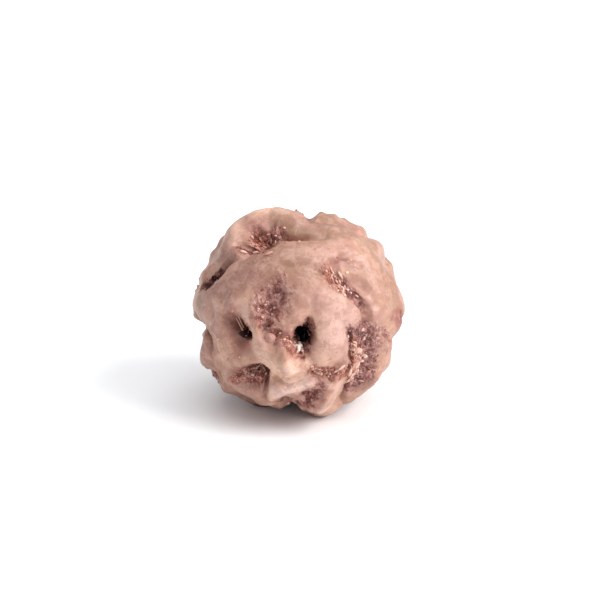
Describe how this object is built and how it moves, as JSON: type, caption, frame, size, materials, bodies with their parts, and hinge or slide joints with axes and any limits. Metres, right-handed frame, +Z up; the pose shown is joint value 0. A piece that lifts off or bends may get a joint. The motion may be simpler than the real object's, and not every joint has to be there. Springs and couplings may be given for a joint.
{
  "type": "rudraksha seed",
  "caption": "Rudraksha seed: round stony fruit pit with deep winding folds, rough pits and a narrow natural channel through it, resting on three low points.",
  "frame": {"origin": "on the table, under the middle of the seed's bounding box", "axes": "+Z up as the seed rests, -Y towards the front, where the channel's mouth is"},
  "size_m": [0.02, 0.0212, 0.0199],
  "materials": {
    "waxy_shell": "smooth waxy pinkish-tan folds with rough red-brown pits"
  },
  "bodies": {
    "root": {"seed": "waxy_shell"}
  },
  "joints": []
}
